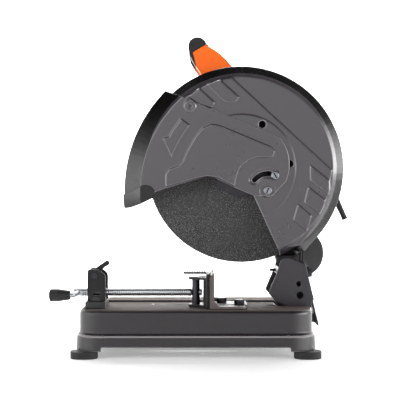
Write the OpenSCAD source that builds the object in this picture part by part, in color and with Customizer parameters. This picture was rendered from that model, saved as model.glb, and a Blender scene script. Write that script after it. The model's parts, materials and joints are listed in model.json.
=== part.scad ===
// Abrasive chop saw: pressed base with a quick-release vise and a hinged cutting head.
// +X runs from the vise crank to the head hinge, +Z is up, -Y is the guard side.
// The origin is the centre of the footprint, on the bench.

/* [Base] */
// Length of the pan's upper wall
base_l = 416; // [400:1:440]
// Width of the pan's upper wall
base_w = 270; // [260:1:290]
// Height of the table top above the bench
table_z = 85.5; // [80:0.5:95]
// Thickness of the sheet steel
sheet = 2.5; // [2:0.25:3]

/* [Cutting disc] */
// Diameter of the abrasive disc
disc_d = 355; // [345:1:355]
// Thickness of the abrasive disc
disc_t = 3; // [2.5:0.1:3.2]
// Bore of the abrasive disc
disc_bore = 25.4; // [25.4:0.1:25.4]
// Place of the disc plane along Y
disc_y = 22; // [20:0.5:24]

/* [Head] */
// Height of the hinge pin above the bench
hinge_z = 104.2; // [102:0.1:106]
// Place of the hinge pin along X
hinge_x = 190.3; // [188:0.1:192]
// Outer radius of the fixed guard's rim
guard_r = 193; // [191:0.5:194]
// Outer radius of the moving guard, about its own pivot
shield_r = 268; // [266:0.5:270]

/* [Drive] */
// Module of the gears
gear_m = 2; // [2:0.1:2]
// Teeth on the drive gear
gear_teeth = 40; // [40:1:40]
// Teeth on the pinion
pinion_teeth = 10; // [10:1:10]

/* [Vise] */
// Diameter of the vise screw
screw_d = 14; // [12:0.5:16]
// Place of the vise screw along Y
vise_y = -67; // [-70:1:-64]
// Height of the vise screw above the bench
vise_z = 111.7; // [110:0.1:113]

/* [Hidden] */
$fn = 64;

// running clearance between a shaft and its hole, on the radius
run = 0.05;
disc_r = disc_d / 2;
// disc centre and the other axes along Y, each as [x, z]
hub = [85.2, 338.5];
hinge = [hinge_x, hinge_z];
shield_pivot = [133, 296.5];
shaft_dist = gear_m * (gear_teeth + pinion_teeth) / 2;
shaft_dir = 75;
shaft = hub + shaft_dist * [cos(shaft_dir), sin(shaft_dir)];
// stations along Y, from the guard side to the motor's end
shield_y = disc_y - 43;
guard_front_y = disc_y - 34;
guard_back_y = disc_y + 26;
cover_y = guard_back_y;
gearcase_y = cover_y + 14;
motor_y = gearcase_y + 34;
cap_y = motor_y + 84;
cap_end_y = cap_y + 30;
skin = 2.5;

steel = [0.62, 0.63, 0.65];
dark_steel = [0.30, 0.30, 0.32];
grey_paint = [0.38, 0.37, 0.38];
base_paint = [0.24, 0.23, 0.25];
black = [0.10, 0.10, 0.10];
orange = [1.0, 0.42, 0.13];

// ---------- helpers ----------
// a shape drawn in X and Z, given depth from y0 to y1
module along_y(y0, y1) {
    translate([0, y1, 0]) rotate([90, 0, 0]) linear_extrude(y1 - y0) children();
}
// a profile of [radius, y], turned about an axis along Y through c = [x, z]
module turned_y(c) {
    translate([c[0], 0, c[1]]) rotate([-90, 0, 0]) rotate_extrude() children();
}
module rod_y(c, r, y0, y1) {
    translate([c[0], y0, c[1]]) rotate([-90, 0, 0]) cylinder(r = r, h = y1 - y0);
}
module ring_y(c, r, hole, y0, y1) {
    turned_y(c) translate([hole, y0]) square([r - hole, y1 - y0]);
}
module rod_x(y, z, r, x0, x1) {
    translate([x0, y, z]) rotate([0, 90, 0]) cylinder(r = r, h = x1 - x0);
}
module rod_z(x, y, r, z0, z1) {
    translate([x, y, z0]) cylinder(r = r, h = z1 - z0);
}
module box(a, b) {
    translate(a) cube(b - a);
}
// hexagon across the flats, for bolt heads
module hex(af) {
    circle(d = af / cos(30), $fn = 6);
}
// points on an arc about c
function arc(c, r, a0, a1, n = 12) =
    [for (i = [0:n]) let (a = a0 + (a1 - a0) * i / n) c + r * [cos(a), sin(a)]];
function at(c, r, a) = c + r * [cos(a), sin(a)];
module rounded_rect(l, w, r) {
    square([l - 2 * r, w], center = true);
    square([l, w - 2 * r], center = true);
    for (x = [-1, 1], y = [-1, 1]) translate([x * (l / 2 - r), y * (w / 2 - r)]) circle(r);
}

// ---------- base ----------
corner_r = 45;
edge_r = 8;
skirt_out = 6;
lip_z = 20;
leg_z = 13;
step_z = [38, 45];
channel = [-26, 62];
channel_drop = 4;
pocket_x = 150;
pocket_y = 57;
notch_z = 68;
fence_pivot = [47, -45];
fence_bolt = [78, -80];
foot_at = [base_l / 2 - 22, base_w / 2 - 22];
sleeve_r = 6.5;
bench_hole_r = 4.2;

// the pan wall's section: x outward from the corner arcs' centres
function wall_section() = let (o = corner_r, s = skirt_out) concat(
    [[o + s, leg_z], [o + s - 1, step_z[0]], [o, step_z[1]]],
    arc([o - edge_r, table_z - edge_r], edge_r, 0, 90, 8),
    [[o - edge_r - 4, table_z], [o - edge_r - 4, table_z - sheet]],
    arc([o - edge_r, table_z - edge_r], edge_r - sheet, 90, 0, 8),
    [[o - sheet, step_z[1]], [o + s - 1 - sheet, step_z[0]], [o + s - sheet, leg_z]]);

module pan_wall() {
    hx = base_l / 2 - corner_r;
    hy = base_w / 2 - corner_r;
    for (q = [0:3]) {
        sx = (q == 0 || q == 3) ? 1 : -1;
        sy = q < 2 ? 1 : -1;
        translate([sx * hx, sy * hy, 0]) rotate([0, 0, 90 * q])
            rotate_extrude(angle = 90) polygon(wall_section());
    }
    for (s = [0, 1]) {
        mirror([0, s, 0]) translate([-hx, hy, 0]) rotate([90, 0, 90])
            linear_extrude(2 * hx) polygon(wall_section());
        mirror([s, 0, 0]) translate([hx, hy, 0]) rotate([90, 0, 0])
            linear_extrude(2 * hy) polygon(wall_section());
    }
}

module base_pan() color(base_paint) difference() {
    union() {
        pan_wall();
        translate([0, 0, table_z - sheet]) linear_extrude(sheet)
            rounded_rect(base_l - 2 * edge_r, base_w - 2 * edge_r, corner_r - edge_r);
        // floor and sides of the spark channel
        box([-186, channel[0] - sheet, table_z - channel_drop - sheet],
            [pocket_x, channel[1] + sheet, table_z - sheet]);
        // pads that take the foot sleeves
        for (x = [-1, 1], y = [-1, 1]) translate([x * foot_at[0], y * foot_at[1], leg_z + 1])
            cylinder(r = 15, h = 4.1);
        for (x = [-1, 1], y = [-1, 1])
            box([x * foot_at[0] - (x > 0 ? 4 : 22), y * foot_at[1] - 4, leg_z + 1],
                [x * foot_at[0] + (x > 0 ? 22 : 4), y * foot_at[1] + 4, leg_z + 5.1]);
    }
    box([-184, channel[0], table_z - channel_drop], [pocket_x + 1, channel[1], table_z + 1]);
    // slot that the disc cuts into
    box([-80, disc_y - 6, 70], [60, disc_y + 6, table_z]);
    // raised edge of the skirt between the feet
    box([-base_l / 2 + 42, -200, 0], [base_l / 2 - 42, 200, lip_z]);
    box([-300, -base_w / 2 + 42, 0], [300, base_w / 2 - 42, lip_z]);
    // pocket for the head bracket, through the table and the rear wall
    box([pocket_x, -pocket_y, notch_z], [base_l / 2 + 20, pocket_y, 120]);
    // clearance for the lowered cheeks
    for (s = [-1, 1]) box([128, s * 48 - 3.5, 60], [pocket_x + 1, s * 48 + 3.5, 120]);
    for (x = [-1, 1], y = [-1, 1]) rod_z(x * foot_at[0], y * foot_at[1], sleeve_r + 0.02, 0, 30);
    rod_z(fence_pivot[0], fence_pivot[1], 5.2, 60, 120);
    rod_z(fence_bolt[0], fence_bolt[1], 5.2, 60, 120);
    // spare place for the fence bolt
    rod_z(106, -93, 5.2, 60, 120);
    for (s = [-1, 1]) rod_z(-179.3, vise_y + s * 30, 4.2, 60, 120);
}

module rubber_feet() color(black)
    for (x = [-1, 1], y = [-1, 1]) translate([x * foot_at[0], y * foot_at[1], 0]) difference() {
        translate([x * 11, y * 9, 0]) linear_extrude(leg_z) rounded_rect(48, 44, 19);
        rod_z(0, 0, sleeve_r + 0.02, -1, 30);
        rod_z(0, 0, 9.02, -1, 2.8);
    }

module foot_sleeves() color(steel)
    for (x = [-1, 1], y = [-1, 1]) translate([x * foot_at[0], y * foot_at[1], 0]) difference() {
        union() {
            rod_z(0, 0, sleeve_r, 0, leg_z + 7);
            rod_z(0, 0, 9, 0.8, 2.8);
            rod_z(0, 0, 11, leg_z + 5.1, leg_z + 7);
        }
        rod_z(0, 0, bench_hole_r, -1, 60);
    }

lug_y = [30, 38];
hinge_r = 6.4;
module pivot_bracket() color(base_paint) difference() {
    union() {
        box([pocket_x + 4, -61, 60], [base_l / 2 - 8, 61, 63]);
        for (s = [-1, 1]) {
            mirror([0, s < 0 ? 1 : 0, 0]) {
                box([pocket_x + 4, pocket_y + 1, 62], [base_l / 2 - 8, 61, table_z - sheet]);
                along_y(lug_y[0], lug_y[1]) {
                    translate(hinge) circle(16);
                    polygon([[hinge_x - 16, 62], [hinge_x + 9, 62],
                        hinge + [16, 0], hinge + [-16, 0]]);
                }
            }
        }
    }
    rod_y(hinge, 9, -60, 60);
}

module hinge_bushes() color([0.72, 0.55, 0.28])
    for (s = [-1, 1]) mirror([0, s < 0 ? 1 : 0, 0])
        turned_y(hinge) polygon([[hinge_r + run, lug_y[0]], [9, lug_y[0]], [9, lug_y[1]],
            [12, lug_y[1]], [12, lug_y[1] + 2], [hinge_r + run, lug_y[1] + 2]]);

// ---------- vise ----------
block_x = [-197, -161.5];
cheek_y = 27;
lever_at = [-182, 143];
module vise_block() color([0.36, 0.36, 0.37]) difference() {
    union() {
        box([block_x[0], vise_y - 40, table_z], [block_x[1], vise_y + 40, 97.5]);
        box([block_x[0] + 3, vise_y - cheek_y + 4, 97], [block_x[1] - 3, vise_y + cheek_y - 4, 107]);
        // tenon that shows through the notch in each cheek
        box([-186.5, vise_y - cheek_y, 97], [-172, vise_y + cheek_y, 106]);
    }
    rod_x(vise_y, vise_z, screw_d / 2 + 0.3, -220, -120);
    for (s = [-1, 1]) rod_z(-179.3, vise_y + s * 30, 3.4, 60, 96);
}

module cheek_outline() polygon(concat(
    [[-194.5, 97.8], [-187, 97.8], [-187, 106.6], [-171.5, 106.6], [-171.5, 97.8], [-161.6, 97.8],
        [-161.6, 139]], arc([-173.6, 139], 12, 20, 60, 4), [[-174, 154.6]],
    arc([-190.5, 150.6], 4, 90, 180, 5)));

module vise_bracket() color(black) difference() {
    union() {
        for (s = [0, 1]) translate([0, vise_y, 0]) mirror([0, s, 0])
            along_y(cheek_y - 3.5, cheek_y) cheek_outline();
        // front web that joins the cheeks, with a hole for the screw
        box([-194.5, vise_y - cheek_y, 107.3], [-191, vise_y + cheek_y, 131]);
    }
    rod_x(vise_y, vise_z, screw_d / 2 + 1, -200, -185);
    rod_y(lever_at, 4, vise_y - 40, vise_y + 40);
    box([-184.7, vise_y - 40, 108.4], [-170.5, vise_y - 20, 115.4]);
}

module vise_block_bolts() color(steel)
    for (s = [-1, 1]) translate([-179.3, vise_y + s * 30, 0]) {
        rod_z(0, 0, 3.3, table_z - 10, 94);
        translate([0, 0, table_z - sheet - 6]) linear_extrude(6) hex(13);
    }

module lever_pin() color(steel) {
    rod_y(lever_at, 3.95, vise_y - cheek_y - 1.5, vise_y + cheek_y + 1.5);
    for (s = [-1, 1]) translate([0, vise_y + s * (cheek_y + 1.4), 0])
        rod_y(lever_at, 5.2, -0.7, 0.7);
}

lever_w = 9;
module release_lever() color(black) difference() {
    union() {
        rod_y(lever_at, 9, vise_y - lever_w, vise_y + lever_w);
        along_y(vise_y - lever_w, vise_y + lever_w)
            polygon([[-188, 147.5], [-186, 152.8], [-163.2, 168.9], [-158.4, 161.5], [-166, 157],
                [-172.5, 149], [-177, 139]]);
        rod_y([-161, 165], 4.4, vise_y - lever_w, vise_y + lever_w);
    }
    rod_y(lever_at, 4, vise_y - 20, vise_y + 20);
}

half_nut_top = 127;
module half_nut() color([0.66, 0.52, 0.30]) difference() {
    union() {
        box([-190, vise_y - 22.5, vise_z + 1], [-166, vise_y + 22.5, vise_z + 14]);
        box([-187, vise_y - 8, vise_z + 13], [-171, vise_y + 8, half_nut_top]);
    }
    rod_x(vise_y, vise_z, screw_d / 2 + run, -220, -120);
}

pin_r = 7.2;
module trunnion_pin() color(dark_steel) difference() {
    union() {
        rod_z(0, vise_y, pin_r, 87.8, 135);
        rod_z(0, vise_y, 3 - run, 134, 139);
    }
    rod_x(vise_y, vise_z, 5 + run, -20, 20);
}

module screw_clip() color(steel) {
    difference() {
        rod_x(vise_y, vise_z, 7, pin_r + 0.6, pin_r + 2.4);
        rod_x(vise_y, vise_z, 5 + run, 0, 30);
    }
}

jaw_half = 45;
module vise_jaw() color(black) difference() {
    union() {
        // face plate and the two ears that hold the pin
        box([18.2, vise_y - jaw_half, table_z + 0.4], [24.2, vise_y + jaw_half, 147]);
        for (z = [[85.9, 90.6], [135.3, 139.6]]) difference() {
            translate([0, vise_y, z[0]]) linear_extrude(z[1] - z[0]) union() {
                circle(14);
                polygon([[0, -14], [19, -34], [19, 34], [0, 14]]);
            }
            if (z[0] < 100) rod_z(0, vise_y, pin_r + run, z[0] + 1.6, 100);
        }
        // serrated lip along the top
        box([-22.8, vise_y + 14, 143.5], [19, vise_y + jaw_half, 147]);
        for (i = [0:8]) translate([-20.8 + 4.6 * i, vise_y + jaw_half, 147]) rotate([90, 0, 0])
            linear_extrude(jaw_half - 14) polygon([[-1.6, -0.5], [1.6, -0.5], [0, 1.8]]);
        // ribs cast on the gripping face's back
        for (s = [-1, 1]) box([13, vise_y + s * 36 - 2, 90], [19, vise_y + s * 36 + 2, 136]);
    }
    // the pin stands in the lower ear and reaches the upper one
    rod_z(0, vise_y, 3, 134, 150);
    for (i = [0:7]) box([23.4, vise_y - 50, 93 + 6.5 * i], [25, vise_y + 50, 94.2 + 6.5 * i]);
}

screw_front_x = -221.5;
module vise_screw() color(steel) difference() {
    union() {
        rod_x(vise_y, vise_z, screw_d / 2, screw_front_x, -pin_r - 0.8);
        rod_x(vise_y, vise_z, 5, -20, pin_r + 4.5);
        rod_x(vise_y, vise_z, 5.8, pin_r + 2.9, pin_r + 4.5);
    }
    rod_y([crank_x, vise_z], 4, vise_y - 20, vise_y + 20);
}

crank_y = vise_y - 62;
crank_bend = 6;
crank_x = -214;
grip_x = -256.6;
grip_len = 36;
module crank_arm() color(steel) {
    // rod through the screw, bent toward the operator's end to carry the grip
    rod_y([crank_x, vise_z], 3.9, crank_y + crank_bend, vise_y + 9);
    translate([crank_x - crank_bend, crank_y + crank_bend, vise_z]) rotate([0, 0, -90])
        rotate_extrude(angle = 90) translate([crank_bend, 0]) circle(3.9);
    rod_x(crank_y, vise_z, 3.9, grip_x - 1.4, crank_x - crank_bend);
    rod_x(crank_y, vise_z, 5.6, grip_x - 2, grip_x - 0.4);
}

module crank_grip() color(black) difference() {
    translate([grip_x, crank_y, vise_z]) rotate([0, 90, 0]) rotate_extrude() polygon(concat(
        [[3.9 + run, 0], [9.6, 0]], arc([9.6, 1.4], 1.4, -90, 0, 4),
        [[11, 15], [8.2, grip_len - 2]], arc([6.2, grip_len - 2], 2, 0, 90, 4),
        [[3.9 + run, grip_len]]));
    // flutes round the thick end
    for (i = [0:7]) translate([0, crank_y, vise_z]) rotate([45 * i, 0, 0])
        translate([grip_x + 4, 0, 11.6]) rotate([0, 90, 0]) cylinder(r = 1.2, h = 12);
}

// ---------- fence ----------
fence_x = [24.6, 32.6];
fence_y = [-125, 5];
module fence() color([0.45, 0.41, 0.41]) difference() {
    union() {
        along_y(fence_y[0], fence_y[1]) polygon(concat(
            [[fence_x[0], table_z + 0.3], [fence_x[0], 143]],
            [[30, 149]], arc([31.2, 147.6], 1.4, 100, 0, 4),
            arc([fence_x[1] + 2.3, table_z + 7.6], 2.3, 180, 270, 5),
            [[fence_x[1] + 2.3, table_z + 0.3]]));
        translate([fence_x[1], fence_y[0], table_z + 0.3]) linear_extrude(5) union() {
            square([44, 112]);
            translate([44, 15]) square([15, 82]);
            translate([44, 15]) circle(15);
            translate([44, 97]) circle(15);
        }
        // raised rim at the free end
        box([fence_x[1] + 56, fence_y[0] + 15, table_z + 4], [fence_x[1] + 59, fence_y[0] + 97,
            table_z + 7.5]);
        // gusset at each end
        for (y = [fence_y[0], fence_y[1] - 19]) along_y(y, y + 5)
            polygon([[fence_x[1] - 1, 89], [fence_x[1] + 12, 89], [fence_x[1] - 1, 101]]);
    }
    rod_z(fence_pivot[0], fence_pivot[1], 5 + run, 60, 120);
    // slot for the clamping bolt, an arc about the pivot bolt
    translate([fence_pivot[0], fence_pivot[1], 80]) rotate([0, 0, slot_a - 46])
        rotate_extrude(angle = 47.5) translate([slot_r - 5.3, 0]) square([10.6, 11]);
    for (a = [slot_a + 1.5, slot_a - 46]) translate([fence_pivot[0] + slot_r * cos(a),
        fence_pivot[1] + slot_r * sin(a), 80]) cylinder(r = 5.3, h = 11);
}
slot_v = fence_bolt - fence_pivot;
slot_r = norm(slot_v);
slot_a = atan2(slot_v[1], slot_v[0]);

module fence_bolts() color(steel)
    for (p = [fence_pivot, fence_bolt]) translate([p[0], p[1], 0]) {
        top = table_z + 5.3;
        rod_z(0, 0, 5, table_z - 22, top + 4);
        rod_z(0, 0, 8.8, top + 0.3, top + 2);
        translate([0, 0, top + 2]) linear_extrude(7) hex(16);
        difference() {
            rod_z(0, 0, 8.8, table_z - sheet - 2.2, table_z - sheet - 0.2);
            rod_z(0, 0, 4.9, 0, 120);
        }
        difference() {
            translate([0, 0, table_z - sheet - 10]) linear_extrude(7.8) hex(16);
            rod_z(0, 0, 4.9, 0, 120);
        }
    }

// ---------- head: hinge bracket ----------
bracket_y = 50;
plate = 4;
web_top = [201, 161];
web_end = [229, 44];
web_dir = (web_end - web_top) / norm(web_end - web_top);
web_in = [web_dir[1], -web_dir[0]];
tail_half = 22;
function web_at(z) = web_top + web_dir * (z - web_top[1]) / web_dir[1];

module web_strip(z0, z1) polygon([web_at(z0), web_at(z1), web_at(z1) + plate * web_in,
    web_at(z0) + plate * web_in]);

module bracket_cheek() polygon(concat(
    [[172, 172.9]], arc([164, 163], 9.9, 80, 150, 6), [[147.3, 143.6], [135.4, 115.2]],
    arc([139.4, 109], 6, 160, 225, 4), [[146.4, 93.3], [153.7, 90.5], [164.7, 85], [170, 78.6]],
    arc(hinge, 33.5, 238, 290, 10), [[206.8, 76.8], [213, 86.9]],
    [web_at(98) + plate * web_in, web_at(160) + plate * web_in, web_at(160), [183, 168.2]]));

foot_z = [131, 157];
foot_bolt_z = 144;
function foot_outline(d) = [[166 - d, foot_z[0] - d], [194, foot_z[0] - d],
    web_at(foot_z[0] - d) + (plate + 0.3 - d) * web_in,
    web_at(foot_z[1] + d) + (plate + 0.3 - d) * web_in, [166 - d, foot_z[1] + d]];

module head_bracket() color(grey_paint) difference() {
    union() {
        for (s = [0, 1]) mirror([0, s, 0])
            along_y(bracket_y - plate, bracket_y) bracket_cheek();
        along_y(-bracket_y, bracket_y) web_strip(96, 161);
        // tail that carries the bumper
        along_y(-tail_half, tail_half) web_strip(48, 98);
        rod_tail = web_at(48) + plate / 2 * web_in;
        rod_y(rod_tail, plate / 2, -tail_half, tail_half);
        // front tie between the cheeks
        along_y(-bracket_y, bracket_y) polygon([[147.3, 143.6], [150.8, 142.2], [155.6, 153.6],
            [152, 155]]);
        // tongue up to the arm
        box([199.5, bracket_y - plate, 140], [205.5, 52, 160]);
        box([199.5, 49.5, 146], [203.5, 78, 187]);
    }
    rod_y(hinge, hinge_r + 0.02, -60, 60);
    // window that the arm's foot passes through
    along_y(bracket_y - plate - 1, bracket_y + 1) polygon(foot_outline(0.3));
    // empty hole for a lock pin
    rod_y([187.9, 125.3], 4.5, -60, 60);
    rod_x(0, 148, 2.6, 130, 160);
    for (y = [-28, 28]) translate([web_at(foot_bolt_z)[0] - 6, y, foot_bolt_z]) rotate([0, 90, 0])
        cylinder(r = 4.2, h = 20);
    translate([190, 64, 172]) rotate([0, 90, 0]) cylinder(r = 4.2, h = 30);
    for (y = [-12, 12]) translate([web_at(60)[0] - 12, y, 60]) rotate([0, 90, 0])
        cylinder(r = 2.6, h = 24);
}

module hinge_pin() color(dark_steel) difference() {
    rod_y(hinge, hinge_r, -bracket_y + 1, bracket_y - 1);
    for (s = [-1, 1]) rod_y(hinge, 4.6, s * bracket_y - 7, s * bracket_y + 7);
}

spring_r = 14;
wire = 2;
coils = 7;
module return_spring() color(dark_steel) {
    n = 18;
    sides = 6;
    len = 50;
    rings = coils * n;
    pts = [for (i = [0:rings]) let (a = 360 * i / n, y = -len / 2 + len * i / rings)
        for (j = [0:sides - 1]) let (b = 360 * j / sides, r = spring_r + wire * cos(b))
            [hinge_x + r * cos(a), y + wire * sin(b), hinge_z + r * sin(a)]];
    sides_list = [for (i = [0:rings - 1]) for (j = [0:sides - 1]) let (k = (j + 1) % sides)
        [i * sides + j, i * sides + k, (i + 1) * sides + k, (i + 1) * sides + j]];
    ends = [[for (j = [sides - 1:-1:0]) j], [for (j = [0:sides - 1]) rings * sides + j]];
    polyhedron(points = pts, faces = concat(sides_list, ends), convexity = 8);
}

module tail_bumper() color(black) difference() {
    along_y(-20, 20) polygon([web_at(66) + plate * web_in, web_at(52) + plate * web_in,
        [base_l / 2 + 4.4, 52.5], [base_l / 2 + 1.6, 66.5]]);
    for (y = [-12, 12]) translate([web_at(60)[0] - 12, y, 60]) rotate([0, 90, 0])
        cylinder(r = 2.6, h = 24);
}

module stop_bolt() color(black) {
    rod_x(0, 148, 2.5, 138, 159);
    translate([155.6, 0, 148]) rotate([0, 90, 0]) linear_extrude(4) hex(8);
}

// ---------- arm and gear case ----------
bulge = [198.6, 177];
bulge_r = 47;
case_r = 52;
arm_y = [52, 82];
module arm_outline() {
    polygon([[92, 280], [140, 330], [206, 250], at(bulge, bulge_r, 38), bulge, [166, 150]]);
    translate(bulge) circle(bulge_r);
}

module arm() color([0.20, 0.20, 0.21]) difference() {
    union() {
        along_y(arm_y[0], arm_y[1]) arm_outline();
        // domed boss on the bulge
        turned_y(bulge) polygon([[0, 60], [40, 60], [40, arm_y[1] + 10], [34, arm_y[1] + 16],
            [0, arm_y[1] + 16]]);
        // foot between the bracket's cheeks
        along_y(-bracket_y + plate + 0.3, arm_y[0] + 10) polygon(foot_outline(0));
        along_y(bracket_y + 0.3, arm_y[0] + 6) polygon([[166, foot_z[0]], [206, foot_z[0]], [218, 142],
            [200, 175], [166, 160]]);
        // ears on the gear case
        for (a = [-32, -66]) rod_y(at(hub, 66, a), 11, arm_y[0], arm_y[1]);
    }
    rod_y(hub, 60.15, 40, cover_y + 5.2);
    rod_y(hub, case_r + 0.1, 40, 120);
    box([198.9, 46, 138], [206.2, 52.1, 161]);
    box([198.9, 46, 144], [204, 79, 188]);
    for (y = [-28, 28]) translate([web_at(foot_bolt_z)[0] - 30, y, foot_bolt_z]) rotate([0, 90, 0])
        cylinder(r = 3.9, h = 40);
    // hole for the bolt from the bracket's tongue, sunk at the rear
    translate([176, 64, 172]) rotate([0, 90, 0]) cylinder(r = 3.9, h = 70);
    translate([236, 64, 172]) rotate([0, 90, 0]) cylinder(r = 9.5, h = 30);
}

module arm_bolts() color(steel) {
    for (y = [-28, 28]) translate([0, y, foot_bolt_z]) rotate([0, 90, 0]) {
        translate([0, 0, 184]) cylinder(r = 3.8, h = 27);
        translate([0, 0, web_at(foot_bolt_z)[0] + 1.9]) cylinder(r = 7, h = 1.5);
        translate([0, 0, web_at(foot_bolt_z)[0] + 3.3]) linear_extrude(6) hex(13);
    }
    translate([0, 64, 172]) rotate([0, 90, 0]) translate([0, 0, 178]) {
        cylinder(r = 3.8, h = 58);
        translate([0, 0, 58]) cylinder(r = 7, h = 1.6);
        translate([0, 0, 59.4]) linear_extrude(6) hex(13);
    }
}

module case_outline(d) {
    translate(hub) circle(case_r - d);
    translate(shaft) circle(50 - d);
    polygon([at(hub, case_r - d, 165), at(hub, case_r - d, -15),
        at(shaft, 50 - d, -15), at(shaft, 50 - d, 165)]);
}

module gear_housing() color([0.55, 0.55, 0.57]) difference() {
    along_y(gearcase_y, motor_y) case_outline(0);
    along_y(gearcase_y - 1, motor_y - 6) union() {
        translate(hub) circle(46);
        translate(shaft) circle(20);
        polygon([at(hub, 46, 150), at(hub, 46, 0), at(shaft, 20, -15), at(shaft, 20, 165)]);
    }
    rod_y(hub, 16.05, motor_y - 10, motor_y - 1);
    rod_y(shaft, 16.05, motor_y - 10, motor_y + 1);
    rod_y(at(hub, 32, 215), 4.1, motor_y - 10, motor_y + 1);
    // register that the motor housing fits in
    ring_y(shaft, 44, 20, motor_y - 1.1, motor_y + 1);
}

module gear_cover() color([0.55, 0.55, 0.57]) difference() {
    union() {
        rod_y(hub, 60, cover_y + 0.1, cover_y + 5);
        along_y(cover_y + 4, gearcase_y) case_outline(0);
    }
    rod_y(hub, 20.05, cover_y + 3, gearcase_y + 1);
    rod_y(hub, 18, cover_y - 1, gearcase_y + 1);
    rod_y(shaft, 13.05, gearcase_y - 6, gearcase_y + 1);
    for (a = [40, 160, 280]) rod_y(at(hub, 44, a), 2.6, cover_y - 1, gearcase_y + 1);
}

journal_r = 10;
module bearing_ring(c, r, hole, y0, y1) difference() {
    ring_y(c, r, hole + run, y0, y1);
    // grooves on both faces between the two races
    for (y = [y0, y1]) ring_y(c, r * 0.78, hole * 1.3, y - 0.8, y + 0.8);
}

module spindle_bearings() color(steel) {
    bearing_ring(hub, 20, journal_r, cover_y + 3.2, cover_y + 13.6);
    bearing_ring(hub, 16, 6, motor_y - 9.8, motor_y - 1.2);
}

module motor_bearings() color(steel) {
    bearing_ring(shaft, 13, 5, gearcase_y - 5.8, gearcase_y - 0.2);
    bearing_ring(shaft, 16, 7, motor_y - 9.8, motor_y - 0.4);
    bearing_ring(shaft, 13, 5, cap_y + 12, cap_y + 20);
}

// ---------- motor ----------
module motor_housing() color(black) difference() {
    union() {
        ring_y(shaft, 50, 46.6, motor_y + 0.1, cap_y);
        ring_y(shaft, 43.8, 41.5, motor_y - 0.9, motor_y + 3);
        ring_y(shaft, 49, 42, motor_y + 0.1, motor_y + 3);
        for (a = [45, 135, 225, 315]) rod_y(at(shaft, 49, a), 6, motor_y + 1, cap_y);
    }
    rod_y(shaft, 41.5, motor_y - 10, motor_y + 5);
    rod_y(shaft, 46.6, motor_y + 3, cap_y + 1);
    for (s = [-1, 1]) translate([0, cap_y - 10, 0]) rod_x(0, shaft[1], 8.1, shaft[0] + s * 50 - 12,
        shaft[0] + s * 50 + 12);
    for (a = [45, 135, 225, 315]) rod_y(at(shaft, 49, a), 2.2, cap_y - 20, cap_y + 1);
    // outlet slots for the cooling air
    for (a = [200:10:340]) translate([shaft[0], motor_y + 6, shaft[1]]) rotate([0, -a, 0])
        translate([38, 0, -2]) cube([20, 14, 4]);
}

module stator() color([0.45, 0.33, 0.22]) difference() {
    rod_y(shaft, 46.4, motor_y + 24, motor_y + 64);
    rod_y(shaft, 27.5, motor_y, motor_y + 80);
    for (s = [0, 90, 180, 270]) along_y(motor_y + 20, motor_y + 70)
        translate(shaft) rotate(s + 45) translate([30, -5]) square([9, 10]);
}

module brush_holders() color([0.72, 0.55, 0.28])
    for (s = [-1, 1]) translate([shaft[0] + s * 17.6, cap_y - 10, shaft[1]])
        box([s < 0 ? -25.6 : 0, -5, -4], [s < 0 ? 0 : 25.6, 5, 4]);

module brush_caps() color([0.12, 0.12, 0.12])
    for (s = [-1, 1]) difference() {
        union() {
            translate([0, cap_y - 10, 0]) rod_x(0, shaft[1], 7.9, shaft[0] + s * 47.5 - 4,
                shaft[0] + s * 47.5 + 4);
            translate([0, cap_y - 10, 0]) rod_x(0, shaft[1], 9.5, shaft[0] + s * 51.8 - 1.2,
                shaft[0] + s * 51.8 + 1.2);
        }
        translate([shaft[0] + s * 53, cap_y - 10, shaft[1]]) cube([2.4, 12, 1.6], center = true);
    }

module end_cap() color(black) difference() {
    turned_y(shaft) polygon(concat([[0, cap_y + 0.1], [50, cap_y + 0.1], [50, cap_end_y - 8]],
        arc([42, cap_end_y - 8], 8, 0, 90, 6), [[0, cap_end_y]]));
    turned_y(shaft) polygon([[0, cap_y - 1], [46.6, cap_y - 1], [46.6, cap_end_y - 9],
        [41, cap_end_y - 3.5], [18, cap_end_y - 3.5], [18, cap_y + 12], [13.05, cap_y + 12],
        [13.05, cap_y + 20.2], [0, cap_y + 20.2]]);
    for (a = [45, 135, 225, 315]) rod_y(at(shaft, 49, a), 2.2, cap_y - 1, cap_end_y + 1);
    for (a = [45, 135, 225, 315]) rod_y(at(shaft, 49, a), 4.6, cap_y + 20, cap_end_y + 1);
    // cooling air inlets in the end face
    for (i = [0:6]) let (h = 30 - 1.1 * (i - 3) * (i - 3))
        box([shaft[0] - 26 + 8 * i, cap_end_y - 6, shaft[1] - h],
            [shaft[0] - 22 + 8 * i, cap_end_y + 2, shaft[1] + h]);
}

module housing_screws() color(steel)
    for (a = [45, 135, 225, 315]) difference() {
        union() {
            rod_y(at(shaft, 49, a), 2, cap_y - 16, cap_y + 20);
            rod_y(at(shaft, 49, a), 4.3, cap_y + 20, cap_y + 23);
        }
        translate([at(shaft, 49, a)[0] - 3, cap_y + 22, at(shaft, 49, a)[1] - 0.5])
            cube([6, 2, 1]);
    }

module armature_shaft() color(steel) {
    rod_y(shaft, 5, gearcase_y - 5.5, cap_y + 19);
    rod_y(shaft, 7, motor_y - 10, cap_y + 10);
    along_y(gearcase_y + 6, gearcase_y + 24) translate(shaft)
        rotate(shaft_dir + 180 + 180 / pinion_teeth) gear_outline(pinion_teeth, 1.15, 0.9);
}

module armature_core() color([0.50, 0.48, 0.46]) difference() {
    rod_y(shaft, 26.5, motor_y + 26, motor_y + 62);
    rod_y(shaft, 7, motor_y, motor_y + 80);
    for (i = [0:11]) translate([shaft[0], 0, shaft[1]]) rotate([0, 30 * i, 0])
        translate([22.5, motor_y + 20, -1.2]) cube([6, 50, 2.4]);
}

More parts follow.
